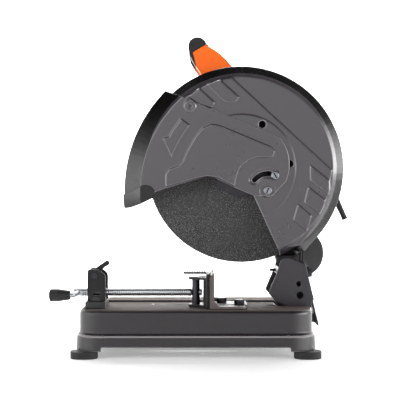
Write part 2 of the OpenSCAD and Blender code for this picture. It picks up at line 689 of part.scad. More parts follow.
module commutator() color([0.72, 0.45, 0.28]) difference() {
    ring_y(shaft, 17, 7, cap_y - 17, cap_y - 3);
    for (i = [0:11]) translate([shaft[0], 0, shaft[1]]) rotate([0, 30 * i, 0])
        translate([16, cap_y - 18, -0.4]) cube([3, 16, 0.8]);
}

module cooling_fan() color([0.15, 0.15, 0.15]) {
    ring_y(shaft, 40, 7, motor_y + 6, motor_y + 8);
    ring_y(shaft, 12, 7, motor_y + 6, motor_y + 18);
    for (i = [0:11]) translate([shaft[0], 0, shaft[1]]) rotate([0, 30 * i, 0])
        translate([11, motor_y + 7.5, -1]) cube([28, 10, 2]);
}

// ---------- handle ----------
bar_c = [2.4, 575.9];
bar_r = 18;
handle_y = [60, 172];
handle_mid = 116;
leg_w = 25;
grip_dir = [0.543, -0.840];
grip_side = [0.840, 0.543];

module leg_outline() polygon([[-7.3, 564.8], [19, 580.3], [23.8, 576.4], [36.5, 568.7],
    [46.2, 561.9], [57.8, 551.2], [67.6, 539.5], [72.4, 533.7], [100, 500], [130, 466],
    [138, 432], [60, 428], [40, 475], [10.2, 521], [-0.5, 537.6]]);
module bridge_outline() intersection() {
    leg_outline();
    polygon([bar_c + 80 * grip_dir - 60 * grip_side, bar_c + 80 * grip_dir + 60 * grip_side,
        [200, 400], [0, 400]]);
}
module spout_outline() polygon([[112, 440], [138, 440], [252, 356], [238, 338], [134, 400]]);

// one half of the handle, on the guard side; the other half mirrors it
module shell_half() difference() {
    union() {
        along_y(handle_y[0], handle_y[0] + leg_w) leg_outline();
        along_y(handle_y[0], handle_mid - 0.05) bridge_outline();
        along_y(96, handle_mid - 0.05) spout_outline();
        rod_y(bar_c, 13.4, handle_y[0] + 3, handle_mid - 0.05);
    }
    // hollow inside
    along_y(handle_y[0] + 3, handle_y[0] + leg_w - 3) offset(delta = -3) leg_outline();
    along_y(handle_y[0] + 3, handle_mid + 1) offset(delta = -3) bridge_outline();
    along_y(99, handle_mid + 1) offset(delta = -3) spout_outline();
    rod_y(bar_c, 11, handle_y[0] + 6, handle_mid + 1);
    rod_y(shaft, 50.3, 40, 240);
    // room for the screw bosses on the motor housing
    for (a = [45, 135]) rod_y(at(shaft, 49, a), 6.4, 40, 240);
    translate([bar_c[0], 0, bar_c[1]]) rotate([0, 57.1, 0])
        box([0, trigger_y[0] - 1, -7.5], [60, trigger_y[1] + 1, 7.5]);
    boot_space();
}
module boot_space() translate([boot_root[0], handle_mid, boot_root[1]])
    rotate([0, 90 - boot_a, 0]) cylinder(r = 8.1, h = 60, center = true);

boot_root = [246, 350];
boot_end = [295, 241];
boot_len = norm(boot_end - boot_root);
boot_a = atan2(boot_end[1] - boot_root[1], boot_end[0] - boot_root[0]);

module handle_shell_front() color(orange) difference() {
    shell_half();
    translate([bar_c[0], 0, bar_c[1]]) rotate([0, 57.1, 0]) rod_x(button_y, 0, 5.3, -30, -5);
}
module handle_shell_rear() color(orange)
    translate([0, 2 * handle_mid, 0]) mirror([0, 1, 0]) shell_half();

module soft_grip() color(black) difference() {
    union() {
        rod_y(bar_c, bar_r, handle_y[0] - 1.5, handle_y[1] + 1.5);
        along_y(handle_y[0] - 1.5, handle_y[1] + 1.5) polygon([at(bar_c, bar_r - 0.5, 190),
            [-12.1, 557], [-1.2, 537.6], [3, 537.6], [8, 560]]);
        along_y(handle_y[0] - 1.5, handle_y[1] + 1.5)
            polygon([[17, 582], [24.6, 578], [20.1, 574], [10, 578]]);
    }
    difference() {
        along_y(handle_y[0] + 0.1, handle_y[1] - 0.1) union() {
            leg_outline();
            translate(bar_c) circle(13.5);
            translate([-5, 566.2]) circle(2);
        }
        along_y(handle_y[0], handle_y[0] + 2.9) difference() {
            translate(bar_c) circle(13.6);
            leg_outline();
        }
    }
    for (y = [handle_y[0] - 2, handle_y[1] + 0.1]) along_y(y - 0.5, y + 2.1) leg_outline();
    along_y(handle_y[0] + leg_w, handle_y[1] - leg_w)
        polygon([[-20, 558], bar_c + [-14, -12], [60, 600], [60, 500], [-20, 500]]);
    translate([bar_c[0], 0, bar_c[1]]) rotate([0, 57.1, 0])
        box([0, trigger_y[0] - 1, -7.5], [60, trigger_y[1] + 1, 7.5]);
    translate([bar_c[0], 0, bar_c[1]]) rotate([0, 57.1, 0]) rod_x(button_y, 0, 5.3, -30, -5);
}

trigger_y = [94, 138];
button_y = 92;
module trigger() color([0.85, 0.30, 0.08]) translate([bar_c[0], 0, bar_c[1]])
    rotate([0, 57.1, 0]) {
        box([10, trigger_y[0], -6.8], [24, trigger_y[1], 6.8]);
        translate([24, trigger_y[0], 0]) rotate([-90, 0, 0])
            cylinder(r = 6.8, h = trigger_y[1] - trigger_y[0]);
    }

module lock_button() color([0.12, 0.12, 0.12]) translate([bar_c[0], 0, bar_c[1]])
    rotate([0, 57.1, 0]) rod_x(button_y, 0, 5, -21.5, -10);

module switch_body() color([0.25, 0.25, 0.26]) translate([bar_c[0], 0, bar_c[1]])
    rotate([0, 57.1, 0]) box([-6, trigger_y[0] + 3, -6.5], [3, trigger_y[1] - 3, 6.5]);

module cord_boot() color(black) translate([boot_root[0], handle_mid, boot_root[1]])
    rotate([0, 90 - boot_a, 0]) difference() {
        rotate_extrude() polygon([[0, -12], [8, -12], [8, 7.2], [10.5, 7.2], [10.5, 11], [7.6, 16],
            [5.4, boot_len - 6], [5.9, boot_len - 2], [5.6, boot_len], [0, boot_len]]);
        translate([0, 0, -20]) cylinder(r = 3.6, h = boot_len + 40);
        for (i = [0:7]) translate([0, 0, 18 + 9 * i]) for (s = [0, 180]) rotate([0, 0, s + 90 * (i % 2)])
            translate([4.2, -6, 0]) cube([6, 12, 2.2]);
    }

// ---------- fixed guard ----------
dish_face_r = 171;
chamfer = 22;
tail_big = [[248.9, 236.2], [229.5, 211], [205, 182], [158, 178]];
tail_small = [[230.2, 247.9], [214, 222], [196, 195], [162, 189]];
function inward(p, d) = [for (q = p) q + d * 1.25 * (hub - q) / norm(hub - q)];

module guard_form(d) {
    turned_y(hub) polygon([[0, guard_front_y + d], [dish_face_r - 0.4 * d, guard_front_y + d],
        [guard_r - d, guard_front_y + chamfer + 0.4 * d], [guard_r - d, guard_back_y - d],
        [0, guard_back_y - d]]);
    hull() {
        along_y(guard_front_y + chamfer, guard_back_y - d)
            polygon(concat([hub], inward(tail_big, d)));
        along_y(guard_front_y + d, guard_front_y + chamfer)
            polygon(concat([hub], inward(tail_small, d)));
    }
}

// the side that stays covered when the moving guard is swung back
module covered() polygon([[-150, 336], [hub[0] - 30, 336], [107.3, 286.4], [155.6, 180.2],
    [156, 174], [300, 174], [300, 600], [-150, 600]]);

module slanted_pad(p, along, across) {
    polygon([p, p + along, p + along + across, p + across]);
}
module guard_pads() {
    // ribs by the rim on the right, and two at the upper left
    for (q = [[[213, 343], [36, -28.5]], [[209.5, 302.5], [31, -24]], [[190, 270], [25, -21]]])
        slanted_pad(q[0], q[1], [q[0][0] > 212 ? 0.5 : (q[0][0] > 200 ? -7 : -8), -28]);
    polygon([[-14, 473], [5.6, 487], [34.4, 460], [28.3, 451.2], [4, 458]]);
    polygon([[17.7, 496], [45, 502], [79.8, 470], [75.3, 463.3], [55.6, 461.5]]);
}

module fixed_guard() color(grey_paint) difference() {
    union() {
        difference() {
            guard_form(0);
            guard_form(skin);
        }
        intersection() {
            union() {
                // round boss about the disc, a step up to the rear, and the rib pads
                rod_y(hub, 100, guard_front_y - 3.2, guard_front_y + 1);
                along_y(guard_front_y - 2, guard_front_y + 1) polygon([[67, 506], [253, 334],
                    [240, 262], [214, 222], [156, 186], [-120, 336], [-80, 520]]);
                along_y(guard_front_y - 4, guard_front_y + 1) guard_pads();
            }
            rod_y(hub, dish_face_r - 2, -40, 60);
        }
        // boss that the moving guard turns on
        rod_y(shield_pivot, 12, shield_y + skin + 0.3, guard_front_y + 3);
    }
    // open side of the guard
    along_y(-60, guard_back_y - skin - 0.01) difference() {
        polygon([[-250, 100], [400, 100], [400, 640], [-250, 640]]);
        covered();
    }
    along_y(guard_back_y - skin - 1, 80) difference() {
        polygon([[-250, 100], [400, 100], [400, 640], [-250, 640]]);
        covered();
        translate(hub) circle(62);
    }
    rod_y(hub, 56, -60, guard_front_y + 6);
    rod_y(hub, 22, 0, 80);
    for (a = [5, 65, 125]) rod_y(at(hub, 90, a), 6.5, -60, guard_front_y + 6);
    rod_y(shield_pivot, 2.6, -60, guard_front_y + 6);
    rod_y(stop_at, 2.6, -60, guard_front_y + 6);
    for (a = [40, 160, 280]) rod_y(at(hub, 44, a), 2.6, guard_back_y - 5, 80);
}

module guard_mount_screws() color(steel)
    for (a = [40, 160, 280]) difference() {
        union() {
            rod_y(at(hub, 44, a), 2.5, guard_back_y - skin - 1, gearcase_y - 1);
            rod_y(at(hub, 44, a), 4.6, guard_back_y - skin - 3, guard_back_y - skin);
        }
        translate([at(hub, 44, a)[0] - 4, guard_back_y - skin - 4, at(hub, 44, a)[1] - 0.5])
            cube([8, 2, 1]);
    }

// ---------- moving guard ----------
shield_face_r = 236;
shield_slope = 24;
shield_back_y = disc_y + 30;
stop_r = 31.5;
stop_a = 63.7;
stop_at = at(shield_pivot, stop_r, stop_a);
slot_end_a = 141;

module shield_form(d, back) {
    turned_y(shield_pivot) polygon([[0, shield_y + d], [shield_face_r - 0.35 * d, shield_y + d],
        [shield_r - d, shield_y + shield_slope + 0.45 * d], [shield_r - d, back], [0, back]]);
}

module shield_outline() polygon(concat([[-105, 504.6], [148, 397.7]],
    arc([94, 345], 80, 37, -24, 14), [[155, 300.5], [147, 291]], arc([138, 297], 11, -50, -95, 4),
    [[109.5, 286.2], [100, 289.8], [72.3, 302]], arc([22.2, 281.8], 40, 62, 108, 8),
    [[-57.7, 300.4], [-82, 291.5], [-102.3, 283.7], [-124.6, 279.4], [-160, 278]]));

module shield_pad() polygon([[-55.9, 304.5], [-55.9, 327], [-50.3, 335.2], [-32, 342.2],
    [-24.5, 350], [-16.9, 368.2], [-2, 395.1], [12, 412], [28, 419], [44, 416.5], [139, 377],
    [145.7, 369], [142.9, 359.5], [114, 358.5], [98, 353.5], [84, 342.5], [75.1, 325.4],
    [71.4, 305.5], [40, 321], [22, 324], [0, 320]]);
module shield_arrow() polygon([[-28, 429.5], [-12.2, 417.4], [-30, 391], [-40, 372],
    [-45.7, 358.9], [-61.4, 393.3], [-50.5, 395.5], [-41.9, 410.9]]);

module band(r0, r1, a0, a1) {
    polygon(concat(arc(shield_pivot, r1, a0, a1, 16), arc(shield_pivot, r0, a1, a0, 16)));
    for (a = [a0, a1]) translate(at(shield_pivot, (r0 + r1) / 2, a)) circle((r1 - r0) / 2);
}

module moving_guard() color(grey_paint) difference() {
    union() {
        intersection() {
            union() {
                difference() {
                    shield_form(0, shield_back_y);
                    shield_form(skin, shield_back_y + 10);
                }
                // return lip along the back edge
                ring_y(shield_pivot, shield_r, shield_r - 8, shield_back_y - skin, shield_back_y);
            }
            along_y(shield_y - 5, shield_back_y + 5) shield_outline();
        }
        along_y(shield_y - 2.6, shield_y + 1) shield_pad();
        along_y(shield_y - 2.2, shield_y + 1) shield_arrow();
        rod_y([-11.3, 453.7], 11, shield_y - 2.2, shield_y + 1);
    }
    rod_y([-11.3, 453.7], 3.3, -60, shield_y + 6);
    rod_y([151.5, 385], 2.2, -60, shield_y + 1.2);
    // recessed seat round the slot and round the pivot
    along_y(-60, shield_y + 1.2) band(23, 42, stop_a + 3, slot_end_a);
    rod_y(shield_pivot, 15, -60, shield_y + 1.2);
    along_y(-60, 0) band(stop_r - 4.2, stop_r + 4.2, stop_a, slot_end_a);
    rod_y(shield_pivot, 5 + run, -60, 0);
}

tip_gap = 0.3;
tip_skin = 2;
module guard_tip() color([0.12, 0.12, 0.13, 0.8]) intersection() {
    difference() {
        shield_form(-tip_gap - tip_skin, shield_back_y);
        shield_form(-tip_gap, shield_back_y + 10);
    }
    along_y(shield_y - 10, shield_back_y + 5) polygon([[-150, 290], [-133, 290], [-104.2, 304],
        [-99.5, 306.8], [-89.3, 306.3], [-81.9, 303.2], [-76.8, 296], [-76, 290.5], [-80, 282.7],
        [-89.3, 278.1], [-104.2, 271], [-122.8, 264.6], [-131, 263.6], [-150, 264]]);
}

// shouldered screw: head radius r, shoulder radius and length, then the thread
module slotted_screw(c, r, y0, y1, shoulder, y2, y3, a) difference() {
    turned_y(c) polygon([[0, y0], [r - 1.2, y0], [r, y0 + 1.2], [r, y1], [shoulder, y1],
        [shoulder, y2], [2.5, y2], [2.5, y3], [0, y3]]);
    translate([c[0], y0 - 1, c[1]]) rotate([0, -a, 0]) translate([-r - 1, 0, -1.1])
        cube([2 * r + 2, 1.9, 2.2]);
}

module guard_pivot_screw() color(steel)
    slotted_screw(shield_pivot, 7.6, shield_y - 2.8, shield_y + 0.8, 5, shield_y + skin + 0.3,
        guard_front_y + 9, 70);

module guard_stop_screw() color(steel)
    slotted_screw(stop_at, 7.4, shield_y - 3.4, shield_y - 0.3, 3.6, guard_front_y - 3.3,
        guard_front_y + 9, 118);

// ---------- spindle ----------
pilot_r = disc_bore / 2 - run;
inner_y = disc_y + disc_t / 2;
outer_y = disc_y - disc_t / 2;
flange_r = 53;
module spindle() color(steel) difference() {
    turned_y(hub) polygon([[0, outer_y - 4.6], [pilot_r, outer_y - 4.6], [pilot_r, inner_y + 7.6],
        [17, inner_y + 7.6], [17, guard_back_y + 1.4], [12.6, guard_back_y + 3],
        [journal_r, guard_back_y + 3], [journal_r, gearcase_y + 24], [6, gearcase_y + 24],
        [6, motor_y - 2.2], [0, motor_y - 2.2]]);
    rod_y(hub, 5, outer_y - 10, outer_y + 24);
}

// tooth flanks follow an involute; addendum and width are in modules
function involute(rb, t) = rb * [cos(t) + t * PI / 180 * sin(t), sin(t) - t * PI / 180 * cos(t)];
function turn(p, a) = [p[0] * cos(a) - p[1] * sin(a), p[0] * sin(a) + p[1] * cos(a)];
module gear_outline(teeth, dedendum, addendum) {
    rp = gear_m * teeth / 2;
    rb = rp * cos(20);
    ra = rp + addendum * gear_m;
    rf = rp - dedendum * gear_m;
    // angle between a flank's start and the tooth's centre line, less some backlash
    play = 0.12 / rp * 180 / PI;
    half = 90 / teeth + (tan(20) - 20 * PI / 180) * 180 / PI - play;
    t_end = sqrt(pow(ra / rb, 2) - 1) * 180 / PI;
    t_start = rf > rb ? sqrt(pow(rf / rb, 2) - 1) * 180 / PI : 0;
    flank = [for (i = [0:5]) turn(involute(rb, t_start + (t_end - t_start) * i / 5), -half)];
    polygon([for (k = [0:teeth - 1]) each concat(
        [turn([rf, 0], 360 * k / teeth - half - 1)],
        [for (p = flank) turn(p, 360 * k / teeth)],
        [for (i = [5:-1:0]) turn([flank[i][0], -flank[i][1]], 360 * k / teeth)],
        [turn([rf, 0], 360 * k / teeth + half + 1)])]);
}

module drive_gear() color(dark_steel) difference() {
    along_y(gearcase_y + 4, gearcase_y + 20) translate(hub) rotate(shaft_dir)
        gear_outline(gear_teeth, 1.15, 0.8);
    rod_y(hub, journal_r + 0.01, 0, 120);
    for (s = [gearcase_y + 3, gearcase_y + 16]) ring_y(hub, 34, 18, s, s + 5);
}

module inner_flange() color(dark_steel)
    turned_y(hub) polygon([[disc_bore / 2, inner_y + 0.02], [flange_r - 8, inner_y + 0.6],
        [flange_r - 7, inner_y + 0.02], [flange_r, inner_y + 0.02], [flange_r, inner_y + 3],
        [26, inner_y + 7.5], [disc_bore / 2, inner_y + 7.5]]);

module abrasive_disc() color([0.22, 0.22, 0.22])
    ring_y(hub, disc_r, disc_bore / 2, outer_y, inner_y);

module outer_flange() color(dark_steel)
    turned_y(hub) polygon([[5.3, outer_y - 7.4], [24, outer_y - 7.4], [flange_r, outer_y - 3.4],
        [flange_r, outer_y - 0.02], [flange_r - 7, outer_y - 0.02], [flange_r - 8, outer_y - 0.6],
        [disc_bore / 2, outer_y - 0.6], [disc_bore / 2, outer_y - 4.8], [5.3, outer_y - 4.8]]);

module disc_bolt() color(steel) {
    rod_y(hub, 4.95, outer_y - 14, outer_y + 18);
    rod_y(hub, 11, outer_y - 9.6, outer_y - 7.5);
    along_y(outer_y - 16.5, outer_y - 9.5) translate(hub) hex(17);
}

module spindle_lock() color([0.12, 0.12, 0.12]) {
    rod_y(at(hub, 32, 215), 4.05, motor_y - 9, motor_y + 5);
    rod_y(at(hub, 32, 215), 6, motor_y + 4.5, motor_y + 10.5);
}

base_pan();
rubber_feet();
foot_sleeves();
pivot_bracket();
hinge_bushes();
vise_block();
vise_bracket();
vise_block_bolts();
lever_pin();
fence_bolts();
fence();
trunnion_pin();
screw_clip();
vise_jaw();
vise_screw();
crank_arm();
crank_grip();
release_lever();
half_nut();
head_bracket();
hinge_pin();
return_spring();
tail_bumper();
stop_bolt();
arm();
arm_bolts();
fixed_guard();
guard_mount_screws();
gear_housing();
gear_cover();
spindle_bearings();
motor_bearings();
motor_housing();
stator();
brush_holders();
brush_caps();
end_cap();
housing_screws();
handle_shell_front();
handle_shell_rear();
soft_grip();
switch_body();
cord_boot();
guard_stop_screw();
guard_pivot_screw();
moving_guard();
guard_tip();
spindle();
drive_gear();
inner_flange();
abrasive_disc();
outer_flange();
disc_bolt();
armature_shaft();
armature_core();
commutator();
cooling_fan();
trigger();
lock_button();
spindle_lock();
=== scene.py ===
import bpy
import bmesh
import json
import math
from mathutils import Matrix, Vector


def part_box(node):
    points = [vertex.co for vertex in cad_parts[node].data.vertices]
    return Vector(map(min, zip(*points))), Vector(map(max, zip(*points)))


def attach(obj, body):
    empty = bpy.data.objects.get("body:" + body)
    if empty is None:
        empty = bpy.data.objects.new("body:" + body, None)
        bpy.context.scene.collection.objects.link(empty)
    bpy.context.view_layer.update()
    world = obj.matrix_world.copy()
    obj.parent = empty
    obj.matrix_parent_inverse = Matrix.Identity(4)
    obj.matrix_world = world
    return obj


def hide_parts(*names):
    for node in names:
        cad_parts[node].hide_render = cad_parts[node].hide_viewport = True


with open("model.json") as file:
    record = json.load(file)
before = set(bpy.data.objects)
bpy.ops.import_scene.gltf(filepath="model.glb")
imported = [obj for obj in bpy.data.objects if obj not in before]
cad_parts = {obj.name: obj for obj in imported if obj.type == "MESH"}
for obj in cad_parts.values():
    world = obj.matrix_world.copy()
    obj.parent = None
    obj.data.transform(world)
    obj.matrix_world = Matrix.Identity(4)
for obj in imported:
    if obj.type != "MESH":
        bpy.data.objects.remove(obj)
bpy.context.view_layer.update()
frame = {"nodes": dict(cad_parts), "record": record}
NODES = frame["nodes"]
BODY = {n: b for b, ns in frame["record"]["behaviour"]["bodies"].items() for n in ns}
SCENE = bpy.context.scene
MM = 0.001


# ---------- materials ----------
# Sockets of the Mix node when it mixes colours.
MIX_FACTOR, MIX_A, MIX_B, MIX_RESULT = 0, 6, 7, 2


def ramp(nt, value, a, b, lo, hi):
    """Maps value from a..b to lo..hi, clamped."""
    n = nt.nodes.new("ShaderNodeMapRange")
    for k, v in zip(("From Min", "From Max", "To Min", "To Max"), (a, b, lo, hi)):
        n.inputs[k].default_value = v
    nt.links.new(value, n.inputs["Value"])
    return n.outputs["Result"]


def joined(nt, operation, a, b):
    """The sum or product of two values."""
    n = nt.nodes.new("ShaderNodeMath")
    n.operation = operation
    nt.links.new(a, n.inputs[0])
    nt.links.new(b, n.inputs[1])
    return n.outputs[0]


class Shader:
    """One procedural material: a Principled shader with object-space noise feeding it."""

    def __init__(self, name, color, rough=0.45, metal=0.0, **inputs):
        self.mat = bpy.data.materials.new(name)
        self.mat.use_nodes = True
        self.nt = self.mat.node_tree
        self.bsdf = self.nt.nodes["Principled BSDF"]
        self.coord = self.nt.nodes.new("ShaderNodeTexCoord").outputs["Object"]
        self.set("Metallic", metal)
        for k, v in inputs.items():
            self.set(k.replace("_", " "), v)
        self.color = None
        self.base = (*color, 1)
        self.set("Base Color", self.base)
        self.set("Roughness", rough)
        self.height = []

    def set(self, name, value):
        self.bsdf.inputs[name].default_value = value

    def stretch(self, scale):
        m = self.nt.nodes.new("ShaderNodeMapping")
        m.inputs["Scale"].default_value = scale
        self.nt.links.new(self.coord, m.inputs["Vector"])
        return m.outputs["Vector"]

    def noise(self, scale, detail=3.0, rough=0.55, stretch=None):
        n = self.nt.nodes.new("ShaderNodeTexNoise")
        n.inputs["Scale"].default_value = scale
        n.inputs["Detail"].default_value = detail
        n.inputs["Roughness"].default_value = rough
        self.nt.links.new(self.stretch(stretch) if stretch else self.coord, n.inputs["Vector"])
        return n.outputs["Fac"]

    def cells(self, scale):
        n = self.nt.nodes.new("ShaderNodeTexVoronoi")
        n.inputs["Scale"].default_value = scale
        self.nt.links.new(self.coord, n.inputs["Vector"])
        return n.outputs["Distance"]

    def span(self, value, a, b, lo, hi):
        return ramp(self.nt, value, a, b, lo, hi)

    def pointiness(self):
        return self.nt.nodes.new("ShaderNodeNewGeometry").outputs["Pointiness"]

    def tint(self, fac, color):
        """Mixes another colour in by fac."""
        n = self.nt.nodes.new("ShaderNodeMix")
        n.data_type = "RGBA"
        if self.color is None:
            n.inputs[MIX_A].default_value = self.base
        else:
            self.nt.links.new(self.color, n.inputs[MIX_A])
        n.inputs[MIX_B].default_value = (*color, 1)
        self.nt.links.new(fac, n.inputs[MIX_FACTOR])
        self.color = n.outputs[MIX_RESULT]

    def rough_by(self, value, a, b, lo, hi):
        self.nt.links.new(self.span(value, a, b, lo, hi), self.bsdf.inputs["Roughness"])

    def bump(self, value, strength, depth):
        self.height.append((value, strength, depth))

    def worn_and_highlit_edges(self, color):
        """Lighter edges, from the curvature of the surface and a noise: rubbed paint with a painted
        highlight on the convex edges.
        """
        edge = self.span(self.pointiness(), 0.54, 0.66, 0, 0.35)
        rub = self.span(self.noise(140, 4), 0.5, 0.66, 0, 1)
        self.tint(joined(self.nt, "MULTIPLY", edge, rub), color)

    def crest_highlight_and_root_shade(self, light, dark):
        """Pressed edges: a painted highlight on the crest and painted shade in the root, from the
        curvature of the surface.
        """
        curve = self.pointiness()
        self.tint(self.span(curve, 0.484, 0.466, 0, 0.9), dark)
        self.tint(self.span(curve, 0.511, 0.535, 0, 1.0), light)

    def done(self, edge=0.0):
        """Links the colour and the bumps, over edges rounded by the radius edge; gives the material."""
        last = None
        if edge:
            b = self.nt.nodes.new("ShaderNodeBevel")
            b.samples = 4
            b.inputs["Radius"].default_value = edge
            last = b.outputs["Normal"]
        for value, strength, depth in self.height:
            b = self.nt.nodes.new("ShaderNodeBump")
            b.inputs["Strength"].default_value = strength
            b.inputs["Distance"].default_value = depth
            self.nt.links.new(value, b.inputs["Height"])
            if last:
                self.nt.links.new(last, b.inputs["Normal"])
            last = b.outputs["Normal"]
        if last:
            self.nt.links.new(last, self.bsdf.inputs["Normal"])
        if self.color:
            self.nt.links.new(self.color, self.bsdf.inputs["Base Color"])
        return self.mat


def paint(name, color, rough=0.4, peel=0.12, light=None, crest=None, **kw):
    """Sprayed paint with orange peel. light: colour of the lighter edges, rubbed paint with a painted
    highlight; crest: colour of the painted highlight on pressed lines, with painted shade in their
    roots.
    """
    s = Shader(name, color, rough, **kw)
    s.tint(s.span(s.noise(5, 2), 0.35, 0.7, 0, 0.2), [c * 1.15 for c in color])
    s.tint(s.span(s.noise(600, 2), 0.6, 0.75, 0, 0.25), [c * 0.75 for c in color])
    s.rough_by(s.noise(22, 4), 0.3, 0.7, rough - 0.04, rough + 0.06)
    s.bump(s.noise(650, 2), peel, 0.0003)
    if light:
        s.worn_and_highlit_edges(light)
    # Painted highlight on the crests of pressed lines, and painted shade (the colour darkened) in their
    # roots.
    if crest:
        s.crest_highlight_and_root_shade(crest, [c * 0.12 for c in color])
    return s.done()


def plated(name, color, rough=0.3, along=None, edge=0.0, patchy=0.4):
    """Zinc or machined steel: fine lines along one axis and a patchy sheen."""
    s = Shader(name, color, rough, 1.0)
    s.tint(s.span(s.noise(60, 4), 0.35, 0.7, 0, patchy), [c * 0.72 for c in color])
    s.rough_by(s.noise(140, 4), 0.3, 0.7, rough - 0.2 * patchy, rough + 0.35 * patchy)
    s.bump(s.noise(900, 2, stretch=along or (1, 1, 1)), 0.25 * patchy, 0.0002)
    return s.done(edge)


def cast(name, color, rough=0.6, grain=420, metal=0.0, edge=0.0):
    """A casting: blotched, with a coarse sandy skin."""
    s = Shader(name, color, rough, metal)
    s.tint(s.span(s.noise(25, 4), 0.35, 0.7, 0, 0.5), [c * 1.4 for c in color])
    s.rough_by(s.noise(80, 3), 0.3, 0.7, rough - 0.1, rough + 0.1)
    s.bump(s.noise(grain, 3, 0.65), 0.35, 0.0005)
    return s.done(edge)


def plastic(name, color, rough=0.45, grain=1100, depth=0.18, edge=0.0, **kw):
    """Moulded plastic or rubber with a fine pebbled texture."""
    s = Shader(name, color, rough, **kw)
    s.tint(s.span(s.noise(14, 2), 0.4, 0.7, 0, 0.25), [c * 0.85 for c in color])
    s.rough_by(s.noise(60, 3), 0.3, 0.7, rough - 0.05, rough + 0.07)
    s.bump(s.cells(grain), depth, 0.0002)
    return s.done(edge)


def abrasive():
    """Bonded grit: dark resin, light and glassy grains, and the faint weave of the glass mesh."""
    s = Shader("abrasive", (0.010, 0.010, 0.0105), 0.7)
    s.tint(s.span(s.noise(900, 2, 0.75), 0.52, 0.60, 0, 0.9), (0.095, 0.092, 0.095))
    s.tint(s.span(s.noise(800, 3, 0.8), 0.61, 0.66, 0, 1.0), (0.42, 0.41, 0.42))
    s.tint(s.span(s.noise(12, 3), 0.42, 0.7, 0, 0.5), (0.035, 0.033, 0.032))
    w = s.nt.nodes.new("ShaderNodeTexWave")
    w.inputs["Scale"].default_value = 90
    w.bands_direction = "DIAGONAL"
    s.nt.links.new(s.coord, w.inputs["Vector"])
    s.bump(w.outputs["Fac"], 0.15, 0.0003)
    s.bump(s.cells(1000), 0.7, 0.0006)
    return s.done()


# Radius of the edges that the shader rounds off, in metres.
ROUND = 0.5 * MM
COAT = {"Coat_Weight": 1.0, "Coat_Roughness": 0.2}
# light is the colour of the lighter edges, rubbed paint with a painted highlight; crest is the colour
# of the painted highlight on pressed lines.
GUARD_PAINT = paint("guard_paint", (0.0290, 0.0253, 0.0302), 0.30, 0.08, light=(0.25, 0.24, 0.25),
                    crest=(0.17, 0.163, 0.172), **COAT)
BRACKET_PAINT = paint("bracket_paint", (0.0170, 0.0148, 0.0188), 0.34, 0.10, light=(0.25, 0.24, 0.25))
BASE_PAINT = paint("base_paint", (0.0125, 0.0104, 0.0122), 0.32, 0.10, light=(0.12, 0.12, 0.12),
                   crest=(0.13, 0.125, 0.13))
# The table top: a rougher paint whose lighter brownish colour is a painted reflection.
TABLE_TOP_REFLECTION = paint("table_top_painted_reflection", (0.105, 0.086, 0.078), 0.75, 0.15, Specular_IOR_Level=0.12)
# A painted highlight along the steps round the pan.
LEDGE_HIGHLIGHT = paint("ledge_painted_highlight", (0.210, 0.200, 0.206), 0.38, 0.10)
RIM_PAINT = paint("rim_paint", (0.0022, 0.0019, 0.0018), 0.24, 0.06, light=(0.1, 0.1, 0.1),
                  Specular_IOR_Level=0.42)
# The pale pinkish colour of its lighter edges is a painted reflection of the bright surroundings.
FENCE_PAINT = paint("fence_paint", (0.060, 0.045, 0.043), 0.38, 0.12, light=(0.42, 0.38, 0.36))
BLACK_PAINT = paint("black_paint", (0.0065, 0.0060, 0.0065), 0.34, 0.12, light=(0.1, 0.1, 0.1),
                    crest=(0.05, 0.05, 0.05), Specular_IOR_Level=0.28)
# Near-black with little sheen: painted shade, on the hinge pin seen in its hole and in the floors of
# the screw slots.
SHADE_BLACK = paint("hole_and_slot_shade", (0.0015, 0.0015, 0.0015), 0.6, Specular_IOR_Level=0.1)
CAST_BLACK = cast("cast_black", (0.022, 0.022, 0.023), 0.48, 300)
CAST_GREY = cast("cast_grey", (0.012, 0.012, 0.0125), 0.45, 420, 0.0, ROUND)
CAST_ALU = cast("cast_aluminium", (0.42, 0.42, 0.43), 0.45, 500, 0.9, ROUND)
ZINC = plated("zinc", (0.27, 0.28, 0.30), 0.30, edge=ROUND)
ZINC_X = plated("zinc_drawn", (0.42, 0.43, 0.45), 0.34, patchy=0.1)
DARK_STEEL = plated("dark_steel", (0.045, 0.043, 0.048), 0.34, edge=ROUND)
GROUND = plated("ground_steel", (0.56, 0.57, 0.59), 0.2, (1, 0.1, 1), ROUND)
BRONZE = cast("bronze", (0.45, 0.28, 0.11), 0.4, 700, 1.0, ROUND)
COPPER = plated("copper", (0.75, 0.38, 0.22), 0.3, edge=ROUND)
LAMINATED = plated("laminations", (0.30, 0.22, 0.15), 0.5, (1, 12, 1), ROUND)
ORANGE = plastic("orange_plastic", (0.86, 0.125, 0.002), 0.40, 1500, 0.06, Specular_IOR_Level=0.25)
BLACK_PLASTIC = plastic("black_plastic", (0.010, 0.010, 0.0105), 0.42, 900, 0.25, ROUND,
                        Specular_IOR_Level=0.3)
SOFT_BLACK = plastic("soft_black", (0.006, 0.006, 0.0065), 0.40, 1300, 0.2, Specular_IOR_Level=0.3)
RUBBER = plastic("moulded_rubber", (0.012, 0.012, 0.012), 0.6, 500, 0.3, Specular_IOR_Level=0.35)
SMOKED = plastic("smoked_plastic", (0.006, 0.006, 0.0065), 0.16, 300, 0.03,
                 Transmission_Weight=0.12, IOR=1.45)
ABRASIVE = abrasive()


def dress(obj, mat):
    obj.data.materials.clear()
    obj.data.materials.append(mat)


